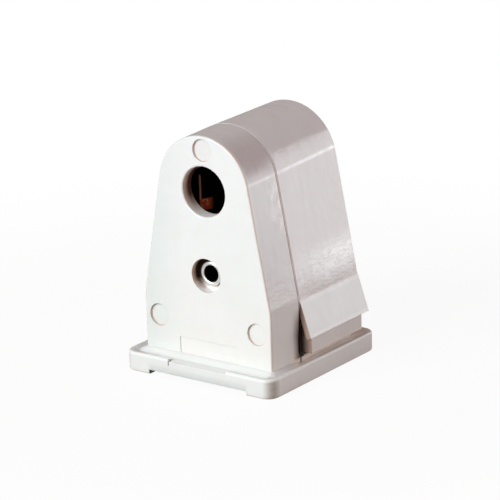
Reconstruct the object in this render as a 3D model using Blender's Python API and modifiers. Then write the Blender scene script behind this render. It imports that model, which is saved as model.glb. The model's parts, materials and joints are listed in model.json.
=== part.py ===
"""Single pin lamp holder for a slimline fluorescent tube, in metres with +Z up.

The holder stands on the feet of its base flange. The tube's pin enters the round hole
in the front wall, which faces -Y. The origin is at the middle of the base, on the feet.
"""

import math

import bmesh
import bpy
from mathutils import Matrix, Vector

MM = 0.001

# The lamp's pin, which sets the sizes round it
PIN_DIAMETER = 8.0 * MM
PIN_RISE = 34.45 * MM

# Outline that both housings share, seen from the front
HOUSING_WIDTH = 30.6 * MM
KINK_RISE = 11.9 * MM
KINK_RADIUS = 12.0 * MM
CROWN_WALL = 5.7 * MM
CROWN_LIFT = 0.45 * MM
CROWN_STEPS = 16
KINK_STEPS = 3

# Housing depths and walls
FRONT_DEPTH = 9.3 * MM
REAR_DEPTH = 20.1 * MM
FRONT_DRAFT = 0.2 * MM
SEAM_GAP = 0.3 * MM
FRONT_WALL = 2.9 * MM
SIDE_WALL = 1.8 * MM
REAR_WALL = 2.0 * MM
BACK_RIB = 0.3 * MM
FACE_EDGE = 0.35 * MM
REAR_EDGE = 0.6 * MM
SEAM_EDGE = 0.2 * MM
SKIRT_HEIGHT = 0.8 * MM
SKIRT_WIDTH = 1.65 * MM
SKIRT_SINK = 0.02 * MM
TONGUE_LENGTH = 1.2 * MM
TONGUE_WALL = 0.75 * MM
TONGUE_CLEARANCE = 0.15 * MM

# Base flange, moulded in one piece with the front housing
FLANGE_HEIGHT = 4.0 * MM
SIDE_LEDGE = 2.7 * MM
FRONT_LEDGE = 4.05 * MM
REAR_LEDGE = 2.45 * MM
FLANGE_CORNER = 2.4 * MM
FLANGE_EDGE = 0.4 * MM
RIM_HEIGHT = 0.5 * MM
RIM_WIDTH = 0.5 * MM
RIM_SLOPE = 1.9 * MM
FOOT_HEIGHT = 0.95 * MM
FOOT_WIDTH = 6.1 * MM

# Holes and marks of the front wall
HOLE_CLEARANCE = 1.1 * MM
HOLE_EDGE = 0.4 * MM
MARK_DIAMETER = 4.6 * MM
MARK_DEPTH = 0.5 * MM
MARK_TO_HOLE = 1.0 * MM
MARK_INSET = 3.4 * MM
LOW_MARK_RISE = 7.3 * MM
INSERT_WIDTH = 13.8 * MM
INSERT_HEIGHT = 4.2 * MM
INSERT_DEPTH = 0.12 * MM
NOTCH_WIDTH = 0.25 * MM
NOTCH_DEPTH = 1.3 * MM
RELIEF_DEPTH = 0.6 * MM

# Snap wings at both sides of the rear housing
WING_FLARE = 2.4 * MM
WING_DROP = 7.2 * MM
WING_THICKNESS = 1.0 * MM
BLOCK_SETBACK = 0.8 * MM
BLOCK_FRONT_INSET = 1.1 * MM
BLOCK_REAR_INSET = 1.6 * MM
BLOCK_THICKNESS = 2.4 * MM
SHEET_SLOT = 1.2 * MM
WING_CLEARANCE = 0.5 * MM

# Tubular rivet that holds the two housings together
RIVET_DROP = 17.1 * MM
SHANK_DIAMETER = 3.9 * MM
RIVET_WALL = 0.25 * MM
HEAD_ROLL = 0.55 * MM
RIVET_HEAD_HEIGHT = 0.6 * MM
RIVET_CLEARANCE = 0.15 * MM
HEAD_CLEARANCE = 0.15 * MM
COUNTERBORE_MARGIN = 1.0 * MM
COUNTERBORE_DEPTH = 2.3 * MM
REAR_RECESS_DEPTH = 1.15 * MM
BOSS_WALL = 1.85 * MM

# Lamp contact, folded from one copper strip
STRIP_THICKNESS = 0.5 * MM
JAW_LEAD = 1.2 * MM
JAW_SQUEEZE = 1.0 * MM
JAW_START = 4.9 * MM
JAW_FLARE_LENGTH = 2.1 * MM
JAW_GRIP_LENGTH = 5.0 * MM
JAW_RISE = 1.6 * MM
JAW_DROP = 7.0 * MM
STEM_REACH = 2.1 * MM
STEM_WIDTH = 4.0 * MM

# Push-in wire terminals on the base
WIRE_HOLE_DIAMETER = 2.4 * MM
WIRE_FUNNEL_DIAMETER = 4.2 * MM
WIRE_PITCH = 8.0 * MM
WIRE_COUNT = 2
WIRE_OFFSET = 1.3 * MM
POCKET_TO_WALL = 1.2 * MM
POCKET_RIB = 1.2 * MM
POCKET_HEIGHT = 9.0 * MM
FIRST_WIRE_DEPTH = 11.5 * MM
SPRING_THICKNESS = 0.3 * MM
SPRING_WIDTH = 5.4 * MM
SPRING_HEIGHT = 7.0 * MM
SPRING_BEND = 1.0 * MM
SEAT_GAP = 0.3 * MM

# Low curb on the flange along each latch slot
CURB_WIDTH = 0.8 * MM
CURB_HEIGHT = 1.2 * MM
CURB_SETBACK = 0.7 * MM

# Fineness of the round shapes, and how far joined or cut shapes reach into each other
ROUND_STEPS = 32
EDGE_STEPS = 3
CORNER_STEPS = 6
DISH_STEPS = 4
ROLL_STEPS = 6
FLAT_ANGLE = math.radians(0.5)
SHARP_ANGLE = math.radians(32.0)
OVERLAP = 0.4 * MM
BEYOND = 1.0 * MM

# Sizes that follow from the ones above
PIN_HOLE_DIAMETER = PIN_DIAMETER + 2 * HOLE_CLEARANCE
CROWN_RADIUS = PIN_HOLE_DIAMETER / 2 + CROWN_WALL
FLANGE_WIDTH = HOUSING_WIDTH + 2 * SIDE_LEDGE
FLANGE_DEPTH = FRONT_LEDGE + FRONT_DEPTH + SEAM_GAP + REAR_DEPTH + REAR_LEDGE
HEAD_DIAMETER = SHANK_DIAMETER + 2 * HEAD_ROLL
COUNTERBORE_DIAMETER = HEAD_DIAMETER + 2 * COUNTERBORE_MARGIN
BOSS_DIAMETER = SHANK_DIAMETER + 2 * BOSS_WALL
JAW_GRIP = PIN_DIAMETER - JAW_SQUEEZE

# Places that follow from the sizes
FLOOR = FLANGE_HEIGHT - RIM_HEIGHT
KINK_HEIGHT = FLANGE_HEIGHT + KINK_RISE
PIN_AXIS_HEIGHT = FLANGE_HEIGHT + PIN_RISE
CROWN_HEIGHT = PIN_AXIS_HEIGHT + CROWN_LIFT
RIVET_HEIGHT = PIN_AXIS_HEIGHT - RIVET_DROP
FRONT_Y = -FLANGE_DEPTH / 2 + FRONT_LEDGE
WALL_BACK_Y = FRONT_Y + FRONT_WALL
SEAM_Y = FRONT_Y + FRONT_DEPTH
REAR_START_Y = SEAM_Y + SEAM_GAP
REAR_Y = REAR_START_Y + REAR_DEPTH
REAR_INNER_Y = REAR_Y - REAR_WALL
KINK_X = HOUSING_WIDTH / 2 + FRONT_DRAFT
WING_TIP_X = KINK_X + WING_FLARE
WING_TIP_HEIGHT = KINK_HEIGHT - WING_DROP
BLOCK_OUTER_X = FLANGE_WIDTH / 2 - BLOCK_SETBACK
BLOCK_INNER_X = BLOCK_OUTER_X - BLOCK_THICKNESS
JAW_Y = FRONT_Y + JAW_START
GRIP_Y = JAW_Y + JAW_FLARE_LENGTH
JAW_END_Y = GRIP_Y + JAW_GRIP_LENGTH
JAW_BOTTOM = PIN_AXIS_HEIGHT - JAW_DROP
STEM_Y = GRIP_Y + JAW_GRIP_LENGTH / 2
PLATE_INNER_X = -JAW_GRIP / 2 - STEM_REACH
PLATE_X = PLATE_INNER_X - STRIP_THICKNESS
WIRE_X = PLATE_X - WIRE_OFFSET
POCKET_OUTER_X = POCKET_TO_WALL + POCKET_RIB + SIDE_WALL - HOUSING_WIDTH / 2
FIRST_WIRE_Y = FRONT_Y + FIRST_WIRE_DEPTH
LAST_WIRE_Y = FIRST_WIRE_Y + WIRE_PITCH * (WIRE_COUNT - 1)


def clear_scene():
    for obj in list(bpy.data.objects):
        bpy.data.objects.remove(obj, do_unlink=True)


def new_collection(name):
    collection = bpy.data.collections.new(name)
    bpy.context.scene.collection.children.link(collection)
    return collection


def make_material(name, colour, roughness, metallic):
    material = bpy.data.materials.new(name)
    material.use_nodes = True
    shader = material.node_tree.nodes["Principled BSDF"]
    shader.inputs["Base Color"].default_value = (*colour, 1.0)
    shader.inputs["Roughness"].default_value = roughness
    shader.inputs["Metallic"].default_value = metallic
    return material


def shade_round_faces(shape):
    """Shades the faces of rounded forms smooth and leaves the flat ones as they are."""
    for edge in shape.edges:
        edge.smooth = edge.calc_face_angle(0.0) < SHARP_ANGLE
    for face in shape.faces:
        bends = [edge.calc_face_angle(0.0) for edge in face.edges]
        face.smooth = any(FLAT_ANGLE < bend < SHARP_ANGLE for bend in bends)


def object_from_bmesh(name, shape):
    bmesh.ops.recalc_face_normals(shape, faces=shape.faces)
    shade_round_faces(shape)
    mesh = bpy.data.meshes.new(name)
    shape.to_mesh(mesh)
    shape.free()
    obj = bpy.data.objects.new(name, mesh)
    helpers.objects.link(obj)
    obj.hide_render = True
    obj.display_type = "WIRE"
    return obj


def box(name, low, high):
    """An upright box between two corners."""
    shape = bmesh.new()
    bmesh.ops.create_cube(shape, size=1.0)
    size = Vector(high) - Vector(low)
    middle = (Vector(high) + Vector(low)) / 2
    bmesh.ops.scale(shape, vec=size, verts=shape.verts)
    bmesh.ops.translate(shape, vec=middle, verts=shape.verts)
    return object_from_bmesh(name, shape)


def rod(name, x, z, diameter, start_y, end_y):
    """A round bar along Y."""
    shape = bmesh.new()
    length = end_y - start_y
    turn = Matrix.Rotation(-math.pi / 2, 4, "X")
    place = Matrix.Translation((x, start_y + length / 2, z))
    bmesh.ops.create_cone(
        shape,
        cap_ends=True,
        segments=ROUND_STEPS,
        radius1=diameter / 2,
        radius2=diameter / 2,
        depth=length,
        matrix=place @ turn,
    )
    return object_from_bmesh(name, shape)


def upright_rod(name, x, y, low_z, high_z, low_diameter, high_diameter):
    """A round bar or cone along Z."""
    shape = bmesh.new()
    height = high_z - low_z
    bmesh.ops.create_cone(
        shape,
        cap_ends=True,
        segments=ROUND_STEPS,
        radius1=low_diameter / 2,
        radius2=high_diameter / 2,
        depth=height,
        matrix=Matrix.Translation((x, y, low_z + height / 2)),
    )
    return object_from_bmesh(name, shape)


def loft(name, loops, bevel_first=0.0):
    """A closed solid through loops of matching points, with its first rim rounded if asked."""
    shape = bmesh.new()
    rings = [[shape.verts.new(point) for point in loop] for loop in loops]
    first = shape.faces.new(rings[0])
    shape.faces.new(list(reversed(rings[-1])))
    for ring, following in zip(rings, rings[1:]):
        for index in range(len(ring)):
            before = index - 1
            shape.faces.new((ring[index], ring[before], following[before], following[index]))
    bmesh.ops.recalc_face_normals(shape, faces=shape.faces)
    if bevel_first:
        bmesh.ops.bevel(
            shape,
            geom=list(first.edges),
            offset=bevel_first,
            offset_type="OFFSET",
            segments=EDGE_STEPS,
            profile=0.5,
            affect="EDGES",
            clamp_overlap=True,
        )
    return object_from_bmesh(name, shape)


def section(name, points, start_y, end_y):
    """A flat outline in X and Z, drawn as a filled curve and extruded along Y."""
    curve = bpy.data.curves.new(name, "CURVE")
    curve.dimensions = "2D"
    curve.fill_mode = "BOTH"
    curve.extrude = (end_y - start_y) / 2
    spline = curve.splines.new("POLY")
    spline.points.add(len(points) - 1)
    for index, (x, z) in enumerate(points):
        spline.points[index].co = (x, z, 0.0, 1.0)
    spline.use_cyclic_u = True
    drawn = bpy.data.objects.new(name + "_drawn", curve)
    helpers.objects.link(drawn)
    place = Matrix.Translation((0.0, (start_y + end_y) / 2, 0.0))
    drawn.matrix_world = place @ Matrix.Rotation(math.pi / 2, 4, "X")
    bpy.context.view_layer.update()
    graph = bpy.context.evaluated_depsgraph_get()
    mesh = bpy.data.meshes.new_from_object(drawn.evaluated_get(graph))
    shape = bmesh.new()
    shape.from_mesh(mesh)
    bmesh.ops.transform(shape, matrix=drawn.matrix_world, verts=shape.verts)
    bmesh.ops.remove_doubles(shape, verts=shape.verts, dist=0.001 * MM)
    bpy.data.objects.remove(drawn, do_unlink=True)
    bpy.data.meshes.remove(mesh)
    return object_from_bmesh(name, shape)


def combine(target, operation, other):
    modifier = target.modifiers.new(operation.title() + " " + other.name, "BOOLEAN")
    modifier.operation = operation
    modifier.object = other
    modifier.solver = "EXACT"


def mirrored(obj):
    """Copies a helper to the other side of the X = 0 plane."""
    shape = bmesh.new()
    shape.from_mesh(obj.data)
    bmesh.ops.scale(shape, vec=(-1.0, 1.0, 1.0), verts=shape.verts)
    bmesh.ops.reverse_faces(shape, faces=shape.faces)
    return object_from_bmesh(obj.name + "_left", shape)


def finish(obj, name, material):
    """Moves a helper to the lamp holder's collection as a part with its material."""
    obj.name = name
    obj.data.name = name
    helpers.objects.unlink(obj)
    holder.objects.link(obj)
    obj.hide_render = False
    obj.display_type = "TEXTURED"
    obj.data.materials.append(material)
    return obj


def arc(centre_x, centre_z, radius, start, end, steps):
    return [
        (
            centre_x + radius * math.cos(start + (end - start) * step / steps),
            centre_z + radius * math.sin(start + (end - start) * step / steps),
        )
        for step in range(steps + 1)
    ]


def right_side(grow):
    """The housing's outline on the right, from the kink up to the top of the crown."""
    half_width = HOUSING_WIDTH / 2 + grow
    radius = CROWN_RADIUS + grow
    drop = CROWN_HEIGHT - KINK_HEIGHT
    reach = math.hypot(half_width, drop)
    tangent = math.atan2(-drop, half_width) + math.acos(radius / reach)
    cut = KINK_RADIUS * math.tan(tangent / 2)
    centre = (half_width - KINK_RADIUS, KINK_HEIGHT - cut)
    kink = arc(*centre, KINK_RADIUS, 0.0, tangent, KINK_STEPS)
    crown = arc(0.0, CROWN_HEIGHT, radius, tangent, math.pi / 2, CROWN_STEPS)
    return kink + crown


def housing_outline(grow, bottom):
    """The full outline with straight sides down to the given height, counter-clockwise."""
    side = right_side(grow)
    half_width = HOUSING_WIDTH / 2 + grow
    right = [(half_width, bottom)] + side
    left = [(-x, z) for x, z in reversed(right[:-1])]
    return right + left


def arch_outline(grow):
    """The part of the outline above the kink, closed straight across at the kink."""
    side = [point for point in right_side(grow) if point[1] >= KINK_HEIGHT]
    half_width = HOUSING_WIDTH / 2 + grow
    right = [(half_width, KINK_HEIGHT)] + side
    left = [(-x, z) for x, z in reversed(right[:-1])]
    return right + left


def seam_rim():
    """The rounded rim of a housing at the seam, as growths of the outline and distances from the end."""
    edge = arc(FRONT_DRAFT - SEAM_EDGE, 0.0, SEAM_EDGE, 0.0, math.pi / 2, EDGE_STEPS)
    return [(grow, SEAM_EDGE - reach) for grow, reach in edge]


def at_depth(outline, y):
    return [(x, y, z) for x, z in outline]


def rounded_rectangle(half_x, half_y, radius, z):
    loop = []
    for turn in range(4):
        sign_x = 1 if turn in (0, 3) else -1
        sign_y = 1 if turn in (0, 1) else -1
        centre_x = sign_x * (half_x - radius)
        centre_y = sign_y * (half_y - radius)
        start = turn * math.pi / 2
        for x, y in arc(centre_x, centre_y, radius, start, start + math.pi / 2, CORNER_STEPS):
            loop.append((x, y, z))
    return loop


def circle(centre_z, radius):
    return arc(0.0, centre_z, radius, 0.0, 2 * math.pi, ROUND_STEPS)[:-1]


def flange_plate():
    """A plate with round corners and edges, a dished top inside a low rim, and two foot rails."""
    half_x = FLANGE_WIDTH / 2
    half_y = FLANGE_DEPTH / 2
    edge = arc(-FLANGE_EDGE, 0.0, FLANGE_EDGE, 0.0, math.pi / 2, EDGE_STEPS)
    lower = [(inset, FLANGE_EDGE - rise) for inset, rise in reversed(edge)]
    upper = [(inset, FLANGE_HEIGHT - FLANGE_EDGE + rise) for inset, rise in edge]
    loops = [
        rounded_rectangle(half_x + inset, half_y + inset, FLANGE_CORNER + inset, height)
        for inset, height in lower + upper
    ]
    plate = loft("flange_plate", loops)

    dish = []
    for step in range(DISH_STEPS + 1):
        rise = step / DISH_STEPS
        inset = RIM_WIDTH + RIM_SLOPE * (1 - rise)
        corner = max(FLANGE_CORNER - RIM_WIDTH * rise, RIM_WIDTH)
        height = FLOOR + RIM_HEIGHT * rise**2
        dish.append(rounded_rectangle(half_x - inset, half_y - inset, corner, height))
    lid_x = half_x - RIM_WIDTH
    lid_y = half_y - RIM_WIDTH
    lid_z = FLANGE_HEIGHT + BEYOND
    dish.append(rounded_rectangle(lid_x, lid_y, FLANGE_CORNER - RIM_WIDTH, lid_z))
    combine(plate, "DIFFERENCE", loft("cut_dish", dish))

    rim_gap = box(
        "cut_rim_gap",
        (-INSERT_WIDTH / 2, -half_y - BEYOND, FLOOR),
        (INSERT_WIDTH / 2, FRONT_Y - OVERLAP, FLANGE_HEIGHT + BEYOND),
    )
    combine(plate, "DIFFERENCE", rim_gap)
    notch = box(
        "cut_rim_notch",
        (-INSERT_WIDTH / 2 - NOTCH_WIDTH, -half_y - BEYOND, FLANGE_HEIGHT - NOTCH_DEPTH),
        (-INSERT_WIDTH / 2, NOTCH_DEPTH - half_y, FLANGE_HEIGHT + BEYOND),
    )
    combine(plate, "DIFFERENCE", notch)
    rail_gap = box(
        "cut_between_feet",
        (-half_x + FOOT_WIDTH, -half_y - BEYOND, -BEYOND),
        (half_x - FOOT_WIDTH, half_y + BEYOND, FOOT_HEIGHT),
    )
    combine(plate, "DIFFERENCE", rail_gap)
    return plate


def front_cup():
    """The front housing's tombstone shell, drafted wider towards the seam and open behind."""
    bottom = FLOOR - OVERLAP
    front = at_depth(housing_outline(0.0, bottom), FRONT_Y)
    seam = [at_depth(housing_outline(grow, bottom), SEAM_Y - inset) for grow, inset in seam_rim()]
    cup = loft("front_cup", [front] + seam, bevel_first=FACE_EDGE)
    inner = housing_outline(-SIDE_WALL, bottom - BEYOND)
    open_y = SEAM_Y + BEYOND
    hollow = loft("cut_front_hollow", [at_depth(inner, WALL_BACK_Y), at_depth(inner, open_y)])
    combine(cup, "DIFFERENCE", hollow)
    rebate = housing_outline(TONGUE_WALL + FRONT_DRAFT - SIDE_WALL, bottom - BEYOND)
    rebate_y = SEAM_Y - TONGUE_LENGTH - TONGUE_CLEARANCE
    pocket = loft("cut_rebate", [at_depth(rebate, rebate_y), at_depth(rebate, open_y)])
    combine(cup, "DIFFERENCE", pocket)
    return cup


def base_skirt():
    """The slope between the front cup and the flange, cut across at the corners."""
    steps = [
        (SKIRT_WIDTH, FLOOR - OVERLAP),
        (SKIRT_WIDTH, FLOOR - SKIRT_SINK),
        (0.0, FLOOR + SKIRT_HEIGHT),
    ]
    back = SEAM_Y - TONGUE_LENGTH - TONGUE_CLEARANCE - OVERLAP
    inner = WALL_BACK_Y - OVERLAP
    inner_x = HOUSING_WIDTH / 2 - SIDE_WALL + OVERLAP
    loops = []
    for grow, height in steps:
        half = HOUSING_WIDTH / 2 + grow
        front = FRONT_Y - grow
        corner = FACE_EDGE + grow / 2
        right = [
            (half - corner, front),
            (half, front + corner),
            (half, back),
            (inner_x, back),
            (inner_x, inner),
        ]
        left = [(-x, y) for x, y in reversed(right)]
        loops.append([(x, y, height) for x, y in right + left])
    return loft("join_base_skirt", loops)


def cut_front_wall(body):
    """Pin hole, counterbored rivet hole, ejector marks and the shallow insert step."""
    outside = FRONT_Y - BEYOND
    radius = PIN_HOLE_DIAMETER / 2
    mouth = arc(radius + HOLE_EDGE, FRONT_Y + HOLE_EDGE, HOLE_EDGE, 1.5 * math.pi, math.pi, EDGE_STEPS)
    profile = [(radius + HOLE_EDGE, outside)] + mouth + [(radius, WALL_BACK_Y + BEYOND)]
    rings = [at_depth(circle(PIN_AXIS_HEIGHT, size), y) for size, y in profile]
    combine(body, "DIFFERENCE", loft("cut_pin_hole", rings))
    seat_y = FRONT_Y + COUNTERBORE_DEPTH
    counterbore = rod("cut_counterbore", 0.0, RIVET_HEIGHT, COUNTERBORE_DIAMETER, outside, seat_y)
    combine(body, "DIFFERENCE", counterbore)
    low_x = HOUSING_WIDTH / 2 - MARK_INSET
    low_z = FLANGE_HEIGHT + LOW_MARK_RISE
    top_z = PIN_AXIS_HEIGHT + (PIN_HOLE_DIAMETER + MARK_DIAMETER) / 2 + MARK_TO_HOLE
    for index, (x, z) in enumerate([(0.0, top_z), (-low_x, low_z), (low_x, low_z)]):
        mark = rod(f"cut_mark_{index}", x, z, MARK_DIAMETER, outside, FRONT_Y + MARK_DEPTH)
        combine(body, "DIFFERENCE", mark)
    insert = box(
        "cut_insert_step",
        (-INSERT_WIDTH / 2, outside, FLOOR + SKIRT_HEIGHT),
        (INSERT_WIDTH / 2, FRONT_Y + INSERT_DEPTH, FLOOR + INSERT_HEIGHT),
    )
    combine(body, "DIFFERENCE", insert)


def flex_reliefs(body):
    """Long shallow notches in the lower rear edges, which leave the wings room to bend."""
    side_x = HOUSING_WIDTH / 2
    outline = [
        (SEAM_Y + BEYOND, FLOOR + CURB_HEIGHT),
        (SEAM_Y + BEYOND, KINK_HEIGHT),
        (SEAM_Y, KINK_HEIGHT),
        (SEAM_Y - RELIEF_DEPTH, KINK_HEIGHT / 2),
        (SEAM_Y - RELIEF_DEPTH, FLOOR + 2 * CURB_HEIGHT),
        (SEAM_Y, FLOOR + CURB_HEIGHT),
    ]
    for side, name in ((1, "right"), (-1, "left")):
        near = side * (side_x - SIDE_WALL - OVERLAP)
        far = side * (side_x + SKIRT_WIDTH + BEYOND)
        loops = [[(x, y, z) for y, z in outline] for x in (near, far)]
        combine(body, "DIFFERENCE", loft("cut_relief_" + name, loops))


def wire_pockets(body):
    """A comb of ribs round the two wire terminals, and funnels that lead the wires in from below."""
    low = FLOOR - OVERLAP
    high = FLOOR + POCKET_HEIGHT
    start_y = FIRST_WIRE_Y - WIRE_PITCH / 2
    end_y = LAST_WIRE_Y + WIRE_PITCH / 2
    root_x = POCKET_OUTER_X - POCKET_RIB
    tip_x = PLATE_X - SEAT_GAP
    comb = []
    for index in range(WIRE_COUNT + 1):
        y = start_y + WIRE_PITCH * index
        near = y - POCKET_RIB / 2
        far = y + POCKET_RIB / 2
        comb += [(POCKET_OUTER_X, near), (tip_x, near), (tip_x, far), (POCKET_OUTER_X, far)]
    comb[0] = (root_x, start_y - POCKET_RIB / 2)
    comb[-1] = (root_x, end_y + POCKET_RIB / 2)
    ribs = loft("join_pocket_comb", [[(x, y, z) for x, y in comb] for z in (low, high)])
    combine(body, "UNION", ribs)
    back_wall_x = PLATE_INNER_X + SEAT_GAP
    stop = box(
        "join_plate_stop",
        (back_wall_x, start_y, low),
        (back_wall_x + POCKET_RIB, end_y, high),
    )
    combine(body, "UNION", stop)
    funnel_depth = (WIRE_FUNNEL_DIAMETER - WIRE_HOLE_DIAMETER) / 2
    wide = WIRE_FUNNEL_DIAMETER + 2 * OVERLAP
    for index in range(WIRE_COUNT):
        y = FIRST_WIRE_Y + WIRE_PITCH * index
        bore = (-BEYOND, FLOOR + BEYOND, WIRE_HOLE_DIAMETER, WIRE_HOLE_DIAMETER)
        combine(body, "DIFFERENCE", upright_rod(f"cut_wire_hole_{index}", WIRE_X, y, *bore))
        cone = (FOOT_HEIGHT - OVERLAP, FOOT_HEIGHT + funnel_depth, wide, WIRE_HOLE_DIAMETER)
        combine(body, "DIFFERENCE", upright_rod(f"cut_wire_funnel_{index}", WIRE_X, y, *cone))


def slot_curbs(body):
    """Low walls under the latch blocks, which close the latch slots towards the inside."""
    outer = HOUSING_WIDTH / 2
    curb = box(
        "join_curb",
        (outer - CURB_WIDTH, SEAM_Y + CURB_SETBACK, FLOOR - OVERLAP),
        (outer, REAR_INNER_Y - BACK_RIB - SEAT_GAP, FLOOR + CURB_HEIGHT),
    )
    combine(body, "UNION", curb)
    combine(body, "UNION", mirrored(curb))


def front_housing():
    body = flange_plate()
    combine(body, "UNION", front_cup())
    combine(body, "UNION", base_skirt())
    boss = rod("join_front_boss", 0.0, RIVET_HEIGHT, BOSS_DIAMETER, WALL_BACK_Y - OVERLAP, SEAM_Y)
    combine(body, "UNION", boss)
    cut_front_wall(body)
    shank_hole = SHANK_DIAMETER + 2 * RIVET_CLEARANCE
    hole = rod("cut_front_rivet_hole", 0.0, RIVET_HEIGHT, shank_hole, FRONT_Y, SEAM_Y + BEYOND)
    combine(body, "DIFFERENCE", hole)
    flex_reliefs(body)
    wire_pockets(body)
    slot_curbs(body)
    white = make_material("white_moulding", (0.88, 0.88, 0.87), 0.35, 0.0)
    return finish(body, "front_housing", white)


def wing_section():
    """The flared outer plate of a snap wing, from the kink down to its tip."""
    lean = math.atan2(WING_TIP_X - KINK_X, WING_DROP)
    across = WING_THICKNESS / math.cos(lean)
    return [
        (KINK_X - OVERLAP, KINK_HEIGHT + OVERLAP),
        (KINK_X - across, KINK_HEIGHT + OVERLAP),
        (KINK_X - across, KINK_HEIGHT),
        (WING_TIP_X - across, WING_TIP_HEIGHT - WING_THICKNESS * math.sin(lean)),
        (WING_TIP_X, WING_TIP_HEIGHT),
        (KINK_X, KINK_HEIGHT),
    ]


def block_section():
    """The solid latch block behind the flare, which fills the fixture's cut-out."""
    bottom = FLANGE_HEIGHT + SHEET_SLOT
    slope = (WING_TIP_X - KINK_X) / WING_DROP
    skin = WING_THICKNESS / 2 / math.cos(math.atan(slope))
    meet = KINK_HEIGHT - (BLOCK_OUTER_X + skin - KINK_X) / slope
    return [
        (BLOCK_INNER_X, bottom),
        (BLOCK_OUTER_X, bottom),
        (BLOCK_OUTER_X, meet),
        (KINK_X - skin + slope * OVERLAP, KINK_HEIGHT - OVERLAP),
        (BLOCK_INNER_X, KINK_HEIGHT - OVERLAP),
    ]


def add_wings(body):
    plate = section("join_wing", wing_section(), REAR_START_Y, REAR_Y)
    block_y = (REAR_START_Y + BLOCK_FRONT_INSET, REAR_Y - BLOCK_REAR_INSET)
    block = section("join_latch_block", block_section(), *block_y)
    for piece in (plate, block):
        combine(body, "UNION", piece)
        combine(body, "UNION", mirrored(piece))


def rear_housing():
    """The rear shell: arched roof, back wall down to the flange, tongue and snap wings."""
    back = at_depth(arch_outline(FRONT_DRAFT), REAR_Y)
    seam = [at_depth(arch_outline(grow), REAR_START_Y + inset) for grow, inset in seam_rim()]
    body = loft("rear_shell", [back] + seam, bevel_first=REAR_EDGE)
    step = arch_outline(TONGUE_WALL + FRONT_DRAFT - SIDE_WALL - TONGUE_CLEARANCE)
    tongue_y = REAR_START_Y - SEAM_GAP - TONGUE_LENGTH
    tongue_end = REAR_START_Y + OVERLAP
    tongue = loft("join_tongue", [at_depth(step, tongue_y), at_depth(step, tongue_end)])
    combine(body, "UNION", tongue)
    inner = housing_outline(FRONT_DRAFT - SIDE_WALL, KINK_HEIGHT - BEYOND)
    open_y = tongue_y - BEYOND
    hollow = loft("cut_rear_hollow", [at_depth(inner, open_y), at_depth(inner, REAR_INNER_Y)])
    combine(body, "DIFFERENCE", hollow)
    half_wall = BLOCK_INNER_X - WING_CLEARANCE
    back_wall = box(
        "join_back_wall",
        (-half_wall, REAR_INNER_Y - BACK_RIB, FLOOR + SEAT_GAP),
        (half_wall, REAR_Y, KINK_HEIGHT + REAR_EDGE + OVERLAP),
    )
    combine(body, "UNION", back_wall)
    add_wings(body)

    boss_y = (REAR_START_Y, REAR_INNER_Y + OVERLAP)
    boss = rod("join_rear_boss", 0.0, RIVET_HEIGHT, BOSS_DIAMETER, *boss_y)
    combine(body, "UNION", boss)
    shank_hole = SHANK_DIAMETER + 2 * RIVET_CLEARANCE
    hole = rod("cut_rear_rivet_hole", 0.0, RIVET_HEIGHT, shank_hole, open_y, REAR_Y)
    combine(body, "DIFFERENCE", hole)
    recess_y = (REAR_Y - REAR_RECESS_DEPTH, REAR_Y + BEYOND)
    recess = rod("cut_rear_recess", 0.0, RIVET_HEIGHT, COUNTERBORE_DIAMETER, *recess_y)
    combine(body, "DIFFERENCE", recess)
    white = make_material("white_moulding_rear", (0.87, 0.86, 0.85), 0.38, 0.0)
    return finish(body, "rear_housing", white)


def tubular_rivet():
    """A tube with a rolled head at each end, turned about its own axis."""
    outer = SHANK_DIAMETER / 2
    inner = outer - RIVET_WALL
    front = FRONT_Y + COUNTERBORE_DEPTH - HEAD_CLEARANCE
    rear = REAR_Y - REAR_RECESS_DEPTH + HEAD_CLEARANCE
    roll = HEAD_DIAMETER / 2 - inner
    middle = inner + roll / 2
    curl = [math.pi * step / ROLL_STEPS for step in range(ROLL_STEPS + 3)]
    head = [
        (middle + roll / 2 * math.sin(angle), RIVET_HEAD_HEIGHT * (1 - math.cos(angle)) / 2)
        for angle in curl
    ]
    front_head = [(radius, front - height) for radius, height in head]
    rear_head = [(radius, rear + height) for radius, height in head]
    profile = [(outer, front), (outer, rear)]
    profile += rear_head[1:]
    profile += [(inner, rear), (inner, front)]
    profile += list(reversed(front_head[1:]))
    shape = bmesh.new()
    points = [shape.verts.new((radius, 0.0, along)) for radius, along in profile]
    for index in range(len(points)):
        shape.edges.new((points[index - 1], points[index]))
    mesh = bpy.data.meshes.new("tubular_rivet")
    shape.to_mesh(mesh)
    shape.free()
    obj = bpy.data.objects.new("tubular_rivet", mesh)
    helpers.objects.link(obj)
    turning = obj.modifiers.new("Turn", "SCREW")
    turning.steps = ROUND_STEPS
    turning.render_steps = ROUND_STEPS
    turning.use_merge_vertices = True
    turning.merge_threshold = 0.0001 * MM
    turning.use_normal_calculate = True
    turning.use_smooth_shade = True
    obj.rotation_euler = (-math.pi / 2, 0.0, 0.0)
    obj.location = (0.0, 0.0, RIVET_HEIGHT)
    steel = make_material("bright_plating", (0.78, 0.77, 0.75), 0.22, 1.0)
    return finish(obj, "tubular_rivet", steel)


def strip_in_plan(name, path, low_z, high_z):
    """A folded strip seen from above: an open wall along a path, thickened about its middle."""
    shape = bmesh.new()
    lower = [shape.verts.new((x, y, low_z)) for x, y in path]
    upper = [shape.verts.new((x, y, high_z)) for x, y in path]
    for index in range(len(path) - 1):
        shape.faces.new((lower[index], lower[index + 1], upper[index + 1], upper[index]))
    mesh = bpy.data.meshes.new(name)
    shape.to_mesh(mesh)
    shape.free()
    obj = bpy.data.objects.new(name, mesh)
    helpers.objects.link(obj)
    obj.hide_render = True
    obj.display_type = "WIRE"
    wall = obj.modifiers.new("Thickness", "SOLIDIFY")
    wall.thickness = STRIP_THICKNESS
    wall.offset = 0.0
    wall.use_even_offset = True
    return obj


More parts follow.
